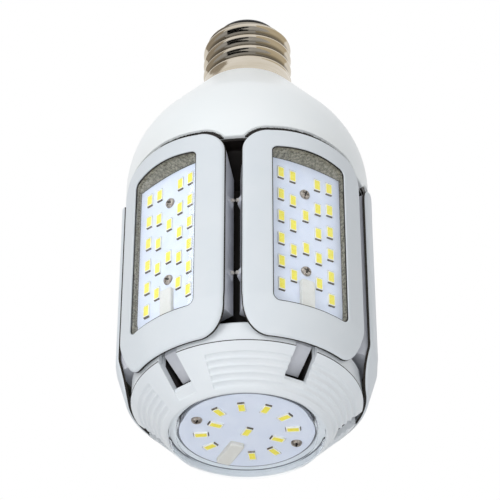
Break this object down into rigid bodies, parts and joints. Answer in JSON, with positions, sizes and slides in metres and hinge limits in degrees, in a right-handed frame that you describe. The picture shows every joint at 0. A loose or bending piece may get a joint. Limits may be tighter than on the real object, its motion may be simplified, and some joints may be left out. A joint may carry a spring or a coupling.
{
  "type": "led hid replacement bulb",
  "caption": "Screw-base retrofit lamp: white dome, round body of hinged light wings that swing out, ribbed cone and a round light under a clear cap.",
  "frame": {"origin": "on the lamp axis at the lowest point of the bottom lens", "axes": "+Z along the lamp axis, from the bottom lens to the screw base; -Y faces between the two front wings"},
  "size_m": [0.107, 0.107, 0.2178],
  "materials": {
    "nickel_shell": "nickel plated, polished",
    "black_insulator": "black, slight gloss",
    "contact_metal": "tinned brass",
    "white_housing": "moulded white, soft gloss",
    "dark_core": "dark anodised",
    "cone_plastic": "moulded white",
    "steel": "zinc plated",
    "clear_plastic": "clear",
    "board_white": "white solder mask",
    "led_phosphor": "yellow phosphor in white package",
    "pad_white": "moulded off-white",
    "bare_aluminium": "milled",
    "frame_plastic": "moulded pale grey",
    "tray_coat": "white powder coat",
    "driver_green": "fibreglass board",
    "ferrite": "wound ferrite",
    "capacitor_sleeve": "sleeved cans",
    "lead_sleeve": "insulated wire"
  },
  "bodies": {
    "lamp_body": {"screw_shell": "nickel_shell", "base_insulator": "black_insulator", "centre_contact": "contact_metal", "upper_housing": "white_housing", "core_column": "dark_core", "shoulder_ring": "white_housing", "lower_housing": "cone_plastic", "hinge_pins": "steel", "housing_screws": "steel", "bottom_lens": "clear_plastic", "bottom_board": "board_white", "bottom_leds": "led_phosphor", "bottom_board_screws": "steel", "bottom_wire_pad": "pad_white", "bottom_heat_plate": "bare_aluminium", "driver_board": "driver_green", "driver_transformer": "ferrite", "driver_capacitors": "capacitor_sleeve", "driver_choke": "ferrite", "base_leads": "lead_sleeve"},
    "wing_1": {"wing_1_frame": "frame_plastic", "wing_1_lens": "clear_plastic", "wing_1_board": "board_white", "wing_1_leds": "led_phosphor", "wing_1_wire_pad": "pad_white", "wing_1_board_screws": "steel", "wing_1_tray": "tray_coat", "wing_1_catch_tips": "steel"},
    "wing_2": {"wing_2_frame": "frame_plastic", "wing_2_lens": "clear_plastic", "wing_2_board": "board_white", "wing_2_leds": "led_phosphor", "wing_2_wire_pad": "pad_white", "wing_2_board_screws": "steel", "wing_2_tray": "tray_coat", "wing_2_catch_tips": "steel"},
    "wing_3": {"wing_3_frame": "frame_plastic", "wing_3_lens": "clear_plastic", "wing_3_board": "board_white", "wing_3_leds": "led_phosphor", "wing_3_wire_pad": "pad_white", "wing_3_board_screws": "steel", "wing_3_tray": "tray_coat", "wing_3_catch_tips": "steel"},
    "wing_4": {"wing_4_frame": "frame_plastic", "wing_4_lens": "clear_plastic", "wing_4_board": "board_white", "wing_4_leds": "led_phosphor", "wing_4_wire_pad": "pad_white", "wing_4_board_screws": "steel", "wing_4_tray": "tray_coat", "wing_4_catch_tips": "steel"},
    "wing_5": {"wing_5_frame": "frame_plastic", "wing_5_lens": "clear_plastic", "wing_5_board": "board_white", "wing_5_leds": "led_phosphor", "wing_5_wire_pad": "pad_white", "wing_5_board_screws": "steel", "wing_5_tray": "tray_coat", "wing_5_catch_tips": "steel"}
  },
  "joints": [
    {"name": "wing_1_hinge", "type": "hinge", "parent": "lamp_body", "child": "wing_1", "pos_m": [0.01805, -0.03126, 0.0177], "axis": [0.866, 0.5, 0], "range_deg": [0, 90]},
    {"name": "wing_2_hinge", "type": "hinge", "parent": "lamp_body", "child": "wing_2", "pos_m": [0.03531, 0.00751, 0.0177], "axis": [-0.2079, 0.9781, 0], "range_deg": [0, 90]},
    {"name": "wing_3_hinge", "type": "hinge", "parent": "lamp_body", "child": "wing_3", "pos_m": [0.00377, 0.0359, 0.0177], "axis": [-0.9945, 0.1045, 0], "range_deg": [0, 90]},
    {"name": "wing_4_hinge", "type": "hinge", "parent": "lamp_body", "child": "wing_4", "pos_m": [-0.03298, 0.01468, 0.0177], "axis": [-0.4067, -0.9135, 0], "range_deg": [0, 90]},
    {"name": "wing_5_hinge", "type": "hinge", "parent": "lamp_body", "child": "wing_5", "pos_m": [-0.02416, -0.02683, 0.0177], "axis": [0.7431, -0.6691, 0], "range_deg": [0, 90]}
  ]
}
